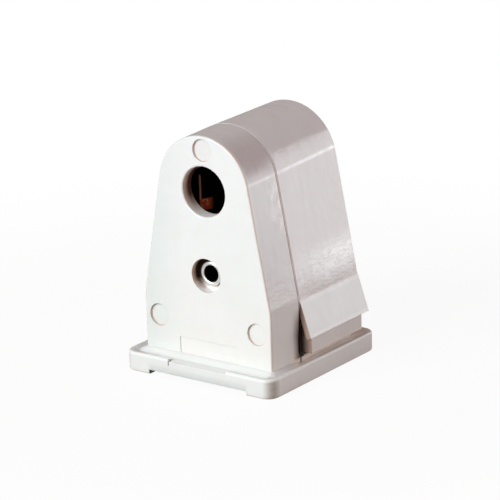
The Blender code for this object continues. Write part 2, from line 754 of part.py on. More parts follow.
def lamp_contact():
    """Two pin jaws on a floor, with a stem down to the plate that the wires press against."""
    mouth = (PIN_DIAMETER + JAW_LEAD) / 2
    grip = JAW_GRIP / 2 + STRIP_THICKNESS / 2
    end = JAW_END_Y
    path = [(-mouth, JAW_Y), (-grip, GRIP_Y), (-grip, end)]
    top = PIN_AXIS_HEIGHT + JAW_RISE
    jaw = strip_in_plan("left_jaw", path, JAW_BOTTOM, top)
    right_path = [(-x, y) for x, y in reversed(path)]
    right_jaw = strip_in_plan("join_right_jaw", right_path, JAW_BOTTOM, top)
    combine(jaw, "UNION", right_jaw)
    floor = box(
        "join_contact_floor",
        (PLATE_X, GRIP_Y + OVERLAP, JAW_BOTTOM - STRIP_THICKNESS / 2),
        (grip + STRIP_THICKNESS / 2, end - OVERLAP, JAW_BOTTOM + STRIP_THICKNESS / 2),
    )
    combine(jaw, "UNION", floor)
    stem = box(
        "join_contact_stem",
        (PLATE_X, STEM_Y - STEM_WIDTH / 2, FLOOR + SEAT_GAP),
        (PLATE_INNER_X, STEM_Y + STEM_WIDTH / 2, JAW_BOTTOM + STRIP_THICKNESS / 2),
    )
    combine(jaw, "UNION", stem)
    plate = box(
        "join_wire_plate",
        (PLATE_X, FIRST_WIRE_Y - WIRE_PITCH / 2, FLOOR + SEAT_GAP),
        (PLATE_INNER_X, LAST_WIRE_Y + WIRE_PITCH / 2, FLOOR + POCKET_HEIGHT),
    )
    combine(jaw, "UNION", plate)
    copper = make_material("copper_strip", (0.62, 0.30, 0.17), 0.32, 1.0)
    return finish(jaw, "lamp_contact", copper)


def wire_spring(index):
    """A folded blade spring that bites on a wire and pushes it against the contact plate."""
    y = FIRST_WIRE_Y + WIRE_PITCH * index
    outer = POCKET_OUTER_X + SEAT_GAP
    free_x = PLATE_X - SEAT_GAP
    low = FLOOR + SEAT_GAP
    free_z = low + SPRING_HEIGHT / 2
    centre = (outer + SPRING_BEND, low + SPRING_HEIGHT - SPRING_BEND)
    turn = (math.pi, math.pi / 3, ROLL_STEPS)
    bent = [(outer, low)] + arc(*centre, SPRING_BEND, *turn) + [(free_x, free_z)]
    back = [(outer + SPRING_THICKNESS, low)]
    back += arc(*centre, SPRING_BEND - SPRING_THICKNESS, *turn)
    back += [(free_x - SPRING_THICKNESS, free_z - SPRING_THICKNESS)]
    outline = bent + list(reversed(back))
    blade = section(f"spring_{index}", outline, y - SPRING_WIDTH / 2, y + SPRING_WIDTH / 2)
    steel = make_material(f"spring_steel_{index}", (0.60, 0.59, 0.57), 0.35, 1.0)
    return finish(blade, f"wire_spring_{index + 1}", steel)


clear_scene()
holder = new_collection("slimline_lamp_holder")
helpers = new_collection("cutters")
front_housing()
rear_housing()
tubular_rivet()
lamp_contact()
for wire in range(WIRE_COUNT):
    wire_spring(wire)
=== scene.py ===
"""Single pin lamp holder: materials, fine detail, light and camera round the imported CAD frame."""

import json
import math

import bmesh
import bpy
from mathutils import Matrix, Quaternion, Vector

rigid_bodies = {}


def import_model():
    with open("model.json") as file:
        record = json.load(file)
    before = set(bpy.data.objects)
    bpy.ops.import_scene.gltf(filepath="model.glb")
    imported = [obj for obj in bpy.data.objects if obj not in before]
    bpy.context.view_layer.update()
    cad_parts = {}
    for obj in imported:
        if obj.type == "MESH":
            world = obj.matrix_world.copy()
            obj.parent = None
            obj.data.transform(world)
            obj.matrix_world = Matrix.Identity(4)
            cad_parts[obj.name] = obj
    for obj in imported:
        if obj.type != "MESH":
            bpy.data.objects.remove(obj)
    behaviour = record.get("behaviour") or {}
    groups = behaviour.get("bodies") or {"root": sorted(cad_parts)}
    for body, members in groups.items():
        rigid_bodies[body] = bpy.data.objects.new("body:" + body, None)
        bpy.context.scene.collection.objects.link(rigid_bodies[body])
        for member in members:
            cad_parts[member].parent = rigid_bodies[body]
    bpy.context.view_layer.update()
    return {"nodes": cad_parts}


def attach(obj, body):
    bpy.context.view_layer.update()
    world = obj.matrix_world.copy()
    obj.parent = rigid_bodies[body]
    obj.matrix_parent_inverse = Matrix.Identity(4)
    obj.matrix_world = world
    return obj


MM = 0.001

# Camera that matches the photograph, fitted in the frame's coordinates
CAMERA_AZIMUTH = math.radians(36.62)
CAMERA_ELEVATION = math.radians(17.88)
CAMERA_ROLL = math.radians(-1.77)
CAMERA_DISTANCE = 693.35 * MM
CAMERA_TARGET = (0.0, -2.05 * MM, 24.0 * MM)
CAMERA_OFFSET = (1.6 * MM, -0.61 * MM)
CAMERA_LENS = 252.72
SENSOR = 36.0

# Places and sizes of the CAD parts that the materials and the added detail follow, in millimetres
FRONT_FACE = -14.05
WALL_BACK = -11.15
SEAM_MIDDLE = -4.6
REAR_START = -4.45
HOLLOW_END = 13.7
HOLLOW_HALF_WIDTH = 13.85
HOLLOW_CROWN_RADIUS = 9.35
KINK_HEIGHT = 15.9
KINK_ASIDE = 15.5
CROWN_HEIGHT = 38.9
TAPER_SLOPE = 0.187
WING_SLOPE = 2.4 / 7.2
FLOOR_HEIGHT = 3.5
FLANGE_TOP = 4.0
FOOT_INNER = 11.9
PIN_AXIS = 38.45
PIN_HOLE_RADIUS = 5.1
RIVET_AXIS = 21.35
COUNTERBORE_RADIUS = 3.5
RIVET_BORE_RADIUS = 1.7
JAW_FRONT = -9.15
MARK_RADIUS = 2.3
LOW_MARK_ASIDE = 11.9
LOW_MARK_HEIGHT = 11.3
TOP_MARK_HEIGHT = 46.85
OUTLINE_HALF_WIDTH = 15.5
OUTLINE_CROWN_RADIUS = 11.0
OUTLINE_KINK_RADIUS = 12.0

# Middle of the holder, which the lights look at
LIGHT_TARGET = (0.0, 0.0, 25.0 * MM)

# The tongue's lip in the seam, in millimetres, and the steps of its two bends
LIP_HALF_LENGTH = 0.13
LIP_OUTER = -0.01
LIP_INNER = -0.6
LIP_FOOT = FLANGE_TOP + 0.6
KINK_STEPS = 6
CROWN_STEPS = 32

# The painted highlight line along the crown, in millimetres
RIDGE_HEIGHT = 41.5
RIDGE_SLOPE = 0.027

# Heights that marks fill, in millimetres: each mark grows over the first pair and ends over the second
RUB_HIGHLIGHT_HEIGHTS = ((18.0, 19.8), (26.0, 22.5))
KINK_BAND_HEIGHTS = ((15.6, 16.2), (19.5, 17.4))
KINK_HIGHLIGHT_HEIGHTS = ((15.1, 15.6), (16.3, 15.9))
WING_HEIGHTS = ((8.4, 8.7), (15.9, 15.6))
WAIST_HEIGHTS = ((15.0, 19.0), (36.0, 28.0))
FLECK_HEIGHTS = ((28.0, 33.0), (41.3, 40.0))
PARTING_HEIGHTS = ((4.2, 4.6), (KINK_HEIGHT + 0.2, KINK_HEIGHT - 0.4))
SLOT_MOUTH_HEIGHTS = ((4.2, 4.8), (15.0, 9.0))
RIPPLE_HEIGHTS = ((15.5, 17.0), (27.0, 19.0))
FLARE_HEIGHTS = ((32.5, 32.9), (35.2, 34.8))

# Fades that place single marks, in millimetres: each from where it is nothing to where it is full,
# and then its lowest and highest share, where these aren't 0 and 1
OUTER_SKIN = (1.2, 0.8)
LATCH_ASIDE = (14.2, 14.8)
LATCH_BELOW = (6.0, 5.4)
LATCH_BEHIND = (-9.0, -6.0)
TROUGH_ABOVE = (3.4, 3.5)
TROUGH_WITHIN = (17.6, 17.3)
AGE_BELOW = (29.0, 15.0)
AGE_OVER_FLANGE = (3.8, 5.2, 0.2, 1.0)
AGE_AT_FOOT = (12.0, 8.0, 0.5, 0.95)
RUB_HIGHLIGHT_TO_REAR = (0.0, 12.0, 0.3, 1.0)
WING_ASIDE = (15.45, 15.6)
WING_TIP = (9.5, 9.0)
FLANK_ABOVE = (15.0, 24.0)
SHOULDER_ABOVE = (RIDGE_HEIGHT - 0.3, RIDGE_HEIGHT + 1.4)
SHOULDER_RIGHT = (3.0, 7.0)
FLECK_BEHIND = (-10.5, -7.0)
LEFT_ASIDE = (-5.0, -14.0)
LEFT_ABOVE = (FLANGE_TOP, FLANGE_TOP + 0.5)
CORNER_MARGIN = (0.32, 0.12)
CORNER_RIGHT = (1.0, 7.0)
CORNER_ABOVE = (FLANGE_TOP + 0.3, FLANGE_TOP + 1.0)
PIN_WALL_TOP = (PIN_AXIS - 4.9, PIN_AXIS - 2.0)
PIN_DARK_TOP = (PIN_AXIS - 4.6, PIN_AXIS - 1.6)
RIVET_WALL_TOP = (RIVET_AXIS - 3.3, RIVET_AXIS - 1.2)
SLOT_START = (SEAM_MIDDLE - 0.35, SEAM_MIDDLE - 0.25)
SLOT_END = (-3.1, -3.3)
SLOT_ASIDE = (12.0, 12.5)
SLOT_UNDER_WING = (0.08, 0.2)
SLOT_AT_REAR = (REAR_START + 0.05, REAR_START + 0.02)
SLOT_RIM_ASIDE = (14.4, 16.9)
SLOT_MOUTH_BEHIND = (SEAM_MIDDLE - 2.6, SEAM_MIDDLE - 0.7)
SLOT_MOUTH_ASIDE = (14.8, 15.2)
RIM_ASIDE = (17.7, 17.9)
RIM_BELOW = (4.1, 3.9)
APRON_ABOVE = (3.4, 3.6)
FLANGE_FRONT_BEFORE = (-17.3, -17.7)
FLANGE_FRONT_BELOW = (3.6, 3.2)
UNDER_FLANGE = (2.6, 1.0)
BETWEEN_FEET = (FOOT_INNER + 0.5, FOOT_INNER - 0.5)
NOTCH_BELOW = (0.98, 0.9)
NOTCH_BEHIND = (-18.02, -17.9)
THIN_LINE = (0.2, 0.1)
TURNED_START = (-2.3, 0.0)
TURNED_END = (2.9, 1.0)
TURNED_ASIDE = (15.0, 15.5)
TURNED_BELOW = (3.9, 3.4)
TURNED_BEFORE = (-14.8, -15.2)
RIDGE_WIDTH = (0.5, 0.05)
RIDGE_TO_REAR = (-14.0, 12.0, 0.35, 1.0)
LIP_HIGHLIGHT_ABOVE = (45.2, 48.0)
LIP_SHADE_BELOW = (KINK_HEIGHT + 0.2, KINK_HEIGHT - 2.5)
RIVET_BORE = (RIVET_BORE_RADIUS + 0.12, RIVET_BORE_RADIUS)
FLARE_BEFORE = (JAW_FRONT + 3.2, JAW_FRONT + 2.0)
FLARE_FLECK_BEFORE = (JAW_FRONT + 2.2, JAW_FRONT + 1.2)
JAW_EDGE = (JAW_FRONT + 0.14, JAW_FRONT + 0.06)

# Depths behind the front wall's face where marks are nothing and where they are full, in millimetres
BORE_MOUTH = (0.05, 0.3)
FLANK_DEPTH = (0.3, 0.8)
CORNER_DEPTH = (0.6, 0.35)
PIN_WALL_DEPTH = (0.8, 1.9)
RIVET_WALL_DEPTH = (0.5, 1.5)
APRON_DEPTH = (-0.1, -0.5)
MARK_DEPTH = ((0.02, 0.1), (0.7, 0.6))

# Relief of the mouldings, and of the lip and the metals
WAVE_DEPTH = 0.22 * MM
STREAK_DEPTH = 0.03 * MM
RIPPLE_DEPTH = 0.05 * MM
FINE_DEPTH = 0.022 * MM
GRAIN_DEPTH = 0.006 * MM
SMALL_GRAIN = 0.01 * MM
ROLLED_GRAIN = 0.012 * MM

# Dust and painted shade in the corners: its reach, how fast it fades, its share, and the share taken off the
# places spared of it
DUST_SHADE_REACH = 1.6 * MM
DUST_SHADE_FALLOFF = 1.4
DUST_SHADE_SHARE = 0.5
SPARED_SHARE = 0.45

# Shares of strength of the marks
SIDE_MARK_SHARE = 0.8
RUB_SHINE = 1.3
RIDGE_SHINE = 0.9
WALL_ROUGHNESS = 0.6
# Painted shade on the sides and roof behind the front face, for each housing
REAR_FLANK_SHADE = 0.955
FRONT_FLANK_SHADE = 0.90
FLANK_WARMTH = 0.974

# Tones of the mouldings and of what marks them, light and dark or low and high where there are two
WHITE = (1.0, 1.0, 1.0)
FRONT_TONES = ((0.885, 0.887, 0.882), (0.865, 0.864, 0.857))
REAR_TONES = ((0.88, 0.875, 0.87), (0.855, 0.85, 0.845))
# Dust with painted shade for the corners, and painted light for the troughs under the latches
DUST_AND_SHADE = (0.58, 0.46, 0.38)
TROUGH_LIGHT = (0.97, 0.89, 0.83)
# A painted highlight for the rubbed patch, then the tones of the darker band above the kink
RUB_HIGHLIGHT = (0.975, 0.99, 0.98)
KINK_BAND_TONES = ((0.90, 0.89, 0.87), (0.72, 0.66, 0.62))
# A painted highlight along the kink
KINK_HIGHLIGHT = (1.0, 1.0, 0.99)
# Painted glints for the front housing's pale flecks
FLECK_GLINT = (1.0, 0.99, 0.98)
# Worn edges, lighter, partly a painted highlight
WORN_EDGE_HIGHLIGHT = (0.93, 0.92, 0.90)
# Painted shade on the rounding of the front face's right edge
CORNER_SHADE_LINE = (0.76, 0.61, 0.52)
# Lit and shaded tones of the hole walls, and painted shade deep in them
PIN_WALL_LIGHT_TONES = ((1.0, 0.96, 0.95), (0.95, 0.78, 0.68))
PIN_WALL_SHADE = (0.10, 0.025, 0.02)
RIVET_WALL_LIGHT_TONES = ((1.0, 0.97, 0.96), (0.78, 0.56, 0.40))
RIVET_WALL_SHADE = (0.02, 0.014, 0.012)
# Painted shadow and shade in the slot between the housings, and down the seam lip
SLOT_SHADE_BLACK = (0.02, 0.012, 0.01)
SLOT_RIM_SHADE = (0.62, 0.47, 0.39)
SLOT_MOUTH_SHADE = (0.05, 0.03, 0.024)
# Painted shade for the hollow inside the housings
HOLLOW_SHADE = (0.008, 0.004, 0.003)
# Painted shadow beside the feet's front ends
NOTCH_SHADOW = (0.10, 0.06, 0.04)
# Painted shadow round the ejector marks
MARK_RING_SHADOW = (0.72, 0.50, 0.38)

# Tints that the mouldings' tone is multiplied by
AGED_TINT = (0.985, 0.965, 0.94)
# Painted light: the wings tinted lighter and cooler
WING_LIGHT_TINT = (1.0, 1.03, 1.035)
STREAK_TINT = (0.982, 0.982, 0.982)
# Painted shade on the front housing's waist and shoulder
WAIST_SHADE_TINT = (0.92, 0.91, 0.91)
SHOULDER_SHADE_TINT = (0.85, 0.80, 0.80)
# Painted shade on the left part
LEFT_SHADE_TINT = (0.885, 0.92, 0.915)
# Painted light on the flange's rim and apron, painted shade on its front and below it, and painted shade at
# its front right corner
RIM_SIDE_LIGHT_TINT = (1.06, 1.075, 1.06)
APRON_LIGHT_TINT = (1.045, 1.065, 1.065)
FLANGE_FRONT_SHADE_TINT = (0.945, 0.945, 0.945)
UNDER_FLANGE_SHADE_TINT = (0.77, 0.80, 0.80)
TURNED_TINT = (0.56, 0.50, 0.46)

# Tones of the other materials, the main one first
# Painted shade and a painted highlight for the seam lip
SEAM_SHADE_TONES = ((0.90, 0.80, 0.75), (0.78, 0.66, 0.60))
LIP_HIGHLIGHT = (0.86, 0.83, 0.80)
PLATING_TONES = ((0.99, 0.98, 0.97), (0.88, 0.87, 0.85))
# Painted shade in the rivet's bore
RIVET_BORE_SHADE = (0.01, 0.008, 0.007)
COPPER_TONES = ((0.72, 0.30, 0.16), (0.40, 0.10, 0.05))
# Painted shade, a painted edge highlight and a painted lit patch with glints on the copper
COPPER_SHADE_BLACK = (0.012, 0.006, 0.005)
COPPER_EDGE_HIGHLIGHT = (0.95, 0.58, 0.42)
FLARE_LIGHT_TONES = ((0.95, 0.16, 0.05), (0.65, 0.06, 0.02))
FLARE_GLINT = (1.0, 0.62, 0.30)
STEEL_TONES = ((0.60, 0.59, 0.57), (0.42, 0.42, 0.45))

# Radii of soft edges
MOULDED_EDGE = 0.14 * MM
METAL_EDGE = 0.06 * MM

# Limits for joining corners, merging flat faces and shading bends smooth
WELD_DISTANCE = 0.0005 * MM
FLAT_ANGLE = math.radians(0.2)
SMOOTH_ANGLE = math.radians(33.0)

# Tones of the floor and the room
FLOOR_RADIUS = 150.0 * MM
GLOSSY_WHITE = 0.15
FLOOR_WHITE = 0.93
FLOOR_BOUNCE = (0.56, 0.50, 0.47)
ROOM_LOW = (0.27, 0.205, 0.195)
ROOM_HIGH = (0.20, 0.115, 0.108)

for old in list(bpy.data.objects):
    bpy.data.objects.remove(old, do_unlink=True)

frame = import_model()
scene = bpy.context.scene


# Node helpers

class Nodes:
    """A node tree with short calls for adding and joining nodes."""

    def __init__(self, tree):
        self.tree = tree
        tree.nodes.clear()

    def node(self, kind, **settings):
        made = self.tree.nodes.new(kind)
        for key, value in settings.items():
            setattr(made, key, value)
        return made

    def join(self, value, socket):
        """Links a socket, or sets a number, a vector or a colour of three parts."""
        if isinstance(value, bpy.types.NodeSocket):
            self.tree.links.new(value, socket)
        elif socket.type == "RGBA":
            socket.default_value = (*value, 1.0)
        else:
            socket.default_value = value

    def math(self, operation, *values, clamp=False):
        made = self.node("ShaderNodeMath", operation=operation, use_clamp=clamp)
        for value, socket in zip(values, made.inputs):
            self.join(value, socket)
        return made.outputs[0]

    def product(self, first, *others):
        for value in others:
            first = self.math("MULTIPLY", first, value)
        return first

    def most(self, first, *others):
        for value in others:
            first = self.math("MAXIMUM", first, value)
        return first

    def vector(self, operation, first, second):
        """The node of a vector operation, whose output is chosen by the caller."""
        made = self.node("ShaderNodeVectorMath", operation=operation)
        self.join(first, made.inputs[0])
        self.join(second, made.inputs[1])
        return made

    def spread(self, value, low, high, to_low=0.0, to_high=1.0):
        """Maps a range of a value to another range, clamped."""
        made = self.node("ShaderNodeMapRange")
        self.join(value, made.inputs["Value"])
        self.join(low, made.inputs["From Min"])
        self.join(high, made.inputs["From Max"])
        self.join(to_low, made.inputs["To Min"])
        self.join(to_high, made.inputs["To Max"])
        return made.outputs["Result"]

    def smooth(self, value, low, high, to_low=0.0, to_high=1.0):
        """As spread, with soft ends."""
        made = self.spread(value, low, high, to_low, to_high)
        made.node.interpolation_type = "SMOOTHSTEP"
        return made

    def band(self, value, growth, end):
        """1 within a stretch of a value, which grows over one pair of limits and ends over another."""
        return self.product(self.spread(value, *growth), self.spread(value, *end))

    def mix(self, factor, first, second):
        made = self.node("ShaderNodeMix", data_type="RGBA")
        self.join(factor, made.inputs[0])
        self.join(first, made.inputs[6])
        self.join(second, made.inputs[7])
        return made.outputs[2]


class Shader(Nodes):
    """A material of the holder, with its places in millimetres."""

    def __init__(self, name):
        self.material = bpy.data.materials.new(name)
        self.material.use_nodes = True
        super().__init__(self.material.node_tree)
        output = self.node("ShaderNodeOutputMaterial")
        self.surface = self.node("ShaderNodeBsdfPrincipled")
        self.join(self.surface.outputs["BSDF"], output.inputs["Surface"])
        metres = self.node("ShaderNodeTexCoord").outputs["Object"]
        self.place = self.vector("MULTIPLY", metres, (1 / MM, 1 / MM, 1 / MM)).outputs[0]
        split = self.node("ShaderNodeSeparateXYZ")
        self.join(self.place, split.inputs[0])
        self.across, self.along, self.up = split.outputs

    def where(self, **fades):
        """1 where every coordinate named is past its fade."""
        return self.product(*(self.spread(getattr(self, name), *fade) for name, fade in fades.items()))

    def reach(self, across, height):
        """How far a point lies from an axis that runs from front to back at the given height."""
        rise = self.math("SUBTRACT", self.up, height)
        squares = self.math("ADD", self.product(across, across), self.product(rise, rise))
        return self.math("SQRT", squares)

    def noise(self, scale, detail=2.0, rough=0.5, stretch=None, distortion=0.0):
        """A noise in the part's millimetres, whose scale the stretch multiplies along each axis."""
        place = self.vector("MULTIPLY", self.place, stretch).outputs[0] if stretch else self.place
        made = self.node("ShaderNodeTexNoise")
        self.join(place, made.inputs["Vector"])
        made.inputs["Scale"].default_value = scale
        made.inputs["Detail"].default_value = detail
        made.inputs["Roughness"].default_value = rough
        made.inputs["Distortion"].default_value = distortion
        return made.outputs["Fac"]

    def blend(self, value, low, high, tones):
        """The first tone where the value is high, and the second where it is low."""
        light, dark = tones
        return self.mix(self.spread(value, low, high), dark, light)

    def bump(self, height, distance, normal=None):
        made = self.node("ShaderNodeBump")
        self.join(height, made.inputs["Height"])
        made.inputs["Distance"].default_value = distance
        made.inputs["Strength"].default_value = 1.0
        if normal is not None:
            self.join(normal, made.inputs["Normal"])
        return made.outputs["Normal"]

    def soft_edges(self, radius):
        made = self.node("ShaderNodeBevel", samples=6)
        made.inputs["Radius"].default_value = radius
        return made.outputs["Normal"]

    def edge_mask(self, rounded):
        """How far the rounded normal leans from the face's own one: 0 on a face, 1 on a sharp edge."""
        face = self.node("ShaderNodeNewGeometry").outputs["Normal"]
        lean = self.vector("DOT_PRODUCT", rounded, face)
        return self.math("SUBTRACT", 1.0, lean.outputs["Value"], clamp=True)

    def crevice(self, distance):
        """1 in a deep corner and 0 in the open."""
        made = self.node("ShaderNodeAmbientOcclusion", samples=6)
        made.inputs["Distance"].default_value = distance
        return self.math("SUBTRACT", 1.0, made.outputs["AO"], clamp=True)

    def finish(self, colour, roughness, normal, **constants):
        """Joins what varies to the surface, sets what doesn't and returns the material."""
        self.join(colour, self.surface.inputs["Base Color"])
        self.join(roughness, self.surface.inputs["Roughness"])
        self.join(normal, self.surface.inputs["Normal"])
        for name, value in constants.items():
            self.surface.inputs[name.replace("_", " ").title().replace("Ior", "IOR")].default_value = value
        return self.material


class Moulding(Shader):
    """White moulded plastic, whose colour takes its marks layer by layer."""

    def __init__(self, name, tones, rear):
        super().__init__(name)
        self.rear = rear
        self.beside = self.math("ABSOLUTE", self.across)
        self.margin = self.inset(OUTLINE_HALF_WIDTH - 0.2, OUTLINE_CROWN_RADIUS - 0.2)
        self.outside = self.spread(self.margin, *OUTER_SKIN)
        self.pin_wall = self.in_bore(PIN_AXIS, PIN_HOLE_RADIUS)
        self.rivet_wall = self.in_bore(RIVET_AXIS, COUNTERBORE_RADIUS)
        self.smear = self.noise(0.7, detail=4.0, rough=0.6, stretch=(0.4, 0.5, 1.2), distortion=0.5)
        self.scuff = self.noise(2.2, detail=3.0, rough=0.6, stretch=(1.0, 1.0, 0.6), distortion=0.4)
        self.fine = self.noise(2.0, detail=3.0, rough=0.65, stretch=(0.6, 0.7, 1.6), distortion=0.6)
        self.rounded = self.soft_edges(MOULDED_EDGE)
        cloud = self.noise(0.11, detail=3.0, rough=0.55)
        flow = self.noise(0.5, stretch=(1.0, 1.0, 0.35), distortion=0.6)
        shade = self.math("ADD", self.product(cloud, 0.7), self.product(flow, 0.3))
        self.base = self.blend(shade, 0.35, 0.65, tones)

    def paint(self, mask, colour, share=1.0):
        """Covers the tone so far with a colour."""
        self.base = self.mix(self.product(mask, share), self.base, colour)

    def tint(self, mask, tint):
        """Multiplies the tone so far by a tint."""
        self.base = self.mix(mask, self.base, self.vector("MULTIPLY", self.base, tint).outputs[0])

    def inset(self, half_width, crown_radius):
        """How far a point lies inside the housings' outline, or one of its offsets, in the front view."""
        taper = self.product(self.math("SUBTRACT", self.up, KINK_HEIGHT), TAPER_SLOPE)
        flank = self.math("SUBTRACT", half_width, self.beside)
        flank = self.math("SUBTRACT", flank, self.most(taper, 0.0))
        arch = self.math("SUBTRACT", crown_radius, self.reach(self.across, CROWN_HEIGHT))
        below = self.spread(self.up, CROWN_HEIGHT - 0.2, CROWN_HEIGHT + 0.2, 50.0, 0.0)
        return self.math("MINIMUM", flank, self.math("ADD", arch, below))

    def inside_housing(self):
        """1 on the surfaces in the housings' hollow, which the light hardly reaches, and 0 outside."""
        ends = self.math("SUBTRACT", self.along, WALL_BACK)
        ends = self.math("MINIMUM", ends, self.math("SUBTRACT", HOLLOW_END, self.along))
        ends = self.math("MINIMUM", ends, self.math("SUBTRACT", self.up, FLOOR_HEIGHT + 0.3))
        within = self.inset(HOLLOW_HALF_WIDTH, HOLLOW_CROWN_RADIUS)
        return self.spread(self.math("MINIMUM", within, ends), -0.05, 0.15)

    def behind_face(self, depths):
        """A fade between two depths behind the front wall's face."""
        start, end = depths
        return self.spread(self.along, FRONT_FACE + start, FRONT_FACE + end)

    def in_bore(self, height, radius):
        """1 on the wall of a hole through the front wall, and 0 outside it."""
        within = self.spread(self.reach(self.across, height), radius + 0.15, radius + 0.05)
        before = self.spread(self.along, WALL_BACK + 0.3, WALL_BACK + 0.2)
        return self.product(within, before, self.behind_face(BORE_MOUTH))

    def add_dust_and_shade(self):
        """Dust with painted shade in the corners, less of it on the latch blocks and in the holes, and
        painted light in the troughs under the latches.
        """
        latch = self.where(beside=LATCH_ASIDE, up=LATCH_BELOW, along=LATCH_BEHIND)
        # Places that get less dust and painted shade: the latch blocks and the hole walls
        clean = self.most(latch, self.pin_wall, self.rivet_wall)
        share = self.math("SUBTRACT", DUST_SHADE_SHARE, self.product(clean, SPARED_SHARE))
        # Dust and painted shade, darkest deep in the corners
        self.paint(self.product(self.math("POWER", self.crevice(DUST_SHADE_REACH), DUST_SHADE_FALLOFF), share), DUST_AND_SHADE)
        # Painted light in the troughs under the latch blocks, where shade falls
        self.paint(self.product(latch, self.where(up=TROUGH_ABOVE, beside=TROUGH_WITHIN)), TROUGH_LIGHT)

    def add_age(self):
        """A warmer tone towards the foot."""
        aged = self.product(self.where(up=AGE_BELOW), self.where(up=AGE_OVER_FLANGE))
        self.tint(self.product(aged, self.where(up=AGE_AT_FOOT)), AGED_TINT)

    def add_rub_highlight_and_band(self):
        """The rear housing's sides: a painted highlight on a rubbed, glossier patch above the kink, and a
        darker mottled band just over the kink. Returns the patch.
        """
        rub_highlight = self.product(self.band(self.up, *RUB_HIGHLIGHT_HEIGHTS), self.outside, self.where(along=RUB_HIGHLIGHT_TO_REAR))
        rub_highlight = self.product(rub_highlight, self.spread(self.smear, 0.25, 0.5))
        rub_highlight = self.product(rub_highlight, self.spread(self.scuff, 0.4, 0.6, 0.25, 1.0))
        # Painted highlight: the rubbed patch painted pale
        self.paint(rub_highlight, RUB_HIGHLIGHT, SIDE_MARK_SHARE)
        kink_band = self.product(self.band(self.up, *KINK_BAND_HEIGHTS), self.outside)
        kink_band = self.product(kink_band, self.spread(self.smear, 0.4, 0.62, 0.3, 1.0))
        # A darker mottled band just over the kink
        self.paint(kink_band, self.blend(self.fine, 0.4, 0.6, KINK_BAND_TONES), SIDE_MARK_SHARE)
        return rub_highlight

    def add_wings(self):
        """Wings tinted lighter and cooler as painted light, draw streaks, a painted highlight on each wing's
        lower edge and, on the rear housing, a painted highlight along the kink.
        """
        wing = self.product(self.band(self.up, *WING_HEIGHTS), self.where(beside=WING_ASIDE))
        # Painted light: the wings, which face a little upwards, tinted lighter and cooler
        self.tint(wing, WING_LIGHT_TINT)
        draw = self.noise(0.7, detail=3.0, rough=0.6, stretch=(0.1, 1.0, 0.12))
        self.tint(self.spread(draw, 0.62, 0.38), STREAK_TINT)
        tip_highlight = self.product(wing, self.where(up=WING_TIP), self.spread(self.scuff, 0.4, 0.55, 0.2, 1.0))
        # Painted highlight along the wing's lower edge
        self.paint(tip_highlight, WHITE, 0.7)
        if self.rear:
            kink_highlight = self.product(self.band(self.up, *KINK_HIGHLIGHT_HEIGHTS), self.outside)
            kink_highlight = self.product(kink_highlight, self.spread(self.smear, 0.35, 0.6, 0.3, 0.9))
            # Painted highlight along the kink
            self.paint(kink_highlight, KINK_HIGHLIGHT, SIDE_MARK_SHARE)

    def add_flanks(self):
        """Painted shade on the sides and roof behind the front face and on the front housing's waist and
        shoulder, and painted glints as pale flecks on its side.
        """
        # Painted shade: sides and roof darker behind the front face
        behind = self.product(self.behind_face(FLANK_DEPTH), self.where(up=FLANK_ABOVE))
        flank = REAR_FLANK_SHADE if self.rear else FRONT_FLANK_SHADE
        self.tint(behind, (flank, flank * FLANK_WARMTH, flank * FLANK_WARMTH))
        if self.rear:
            return
        # Painted shade on the front housing's waist and shoulder
        self.tint(self.product(self.band(self.up, *WAIST_HEIGHTS), behind), WAIST_SHADE_TINT)
        self.tint(self.product(behind, self.where(up=SHOULDER_ABOVE, across=SHOULDER_RIGHT)), SHOULDER_SHADE_TINT)
        # Painted glints: pale flecks on the front housing's side
        glint_fleck = self.noise(0.5, detail=4.0, rough=0.65, stretch=(1.0, 1.0, 0.6), distortion=0.8)
        glint_fleck = self.product(self.spread(glint_fleck, 0.44, 0.64), self.band(self.up, *FLECK_HEIGHTS))
        self.paint(self.product(glint_fleck, self.where(along=FLECK_BEHIND)), FLECK_GLINT, 0.7)

    def add_edges(self):
        """Painted shade on the left part, worn edges made lighter as partly painted highlights, and a thin
        brown line of painted shade along the front face's right edge.
        """
        # Painted shade: the left part darker
        self.tint(self.where(across=LEFT_ASIDE, up=LEFT_ABOVE), LEFT_SHADE_TINT)
        # Worn edges, lighter, partly a painted highlight
        worn_highlight = self.product(self.edge_mask(self.rounded), self.noise(1.3, detail=3.0))
        self.paint(worn_highlight, WORN_EDGE_HIGHLIGHT, 0.5)
        # Painted shade on the rounding of the front face's right edge
        corner = self.where(margin=CORNER_MARGIN, across=CORNER_RIGHT, up=CORNER_ABOVE)
        self.paint(self.product(corner, self.behind_face(CORNER_DEPTH)), CORNER_SHADE_LINE, 0.6)

    def add_bore(self, wall, tones, warm_top, dark_top, depths, dark, share):
        """The wall of a hole, with painted light and shade: warmer towards its top, and dark there in its
        depth. Returns the painted shade.
        """
        low, high = tones
        # Painted light and shade: the wall lighter low down and warmer towards its top
        self.paint(wall, self.mix(self.where(up=warm_top), low, high))
        bore_shade = self.product(wall, self.behind_face(depths), self.where(up=dark_top))
        # Painted shade deep in the hole
        self.paint(bore_shade, dark, share)
        return bore_shade

    def add_parting(self):
        """Painted shadow in the slot between the housings below the kink, and painted shade before it on the
        front housing. Returns the slot.
        """
        slot = self.product(self.band(self.up, *PARTING_HEIGHTS), self.band(self.along, SLOT_START, SLOT_END))
        drop = self.math("SUBTRACT", KINK_HEIGHT, self.up)
        flare = self.math("MULTIPLY_ADD", drop, WING_SLOPE, KINK_ASIDE)
        under = self.spread(self.math("SUBTRACT", flare, self.beside), *SLOT_UNDER_WING)
        under = self.most(under, self.where(along=SLOT_AT_REAR))
        slot = self.product(slot, self.where(beside=SLOT_ASIDE), under)
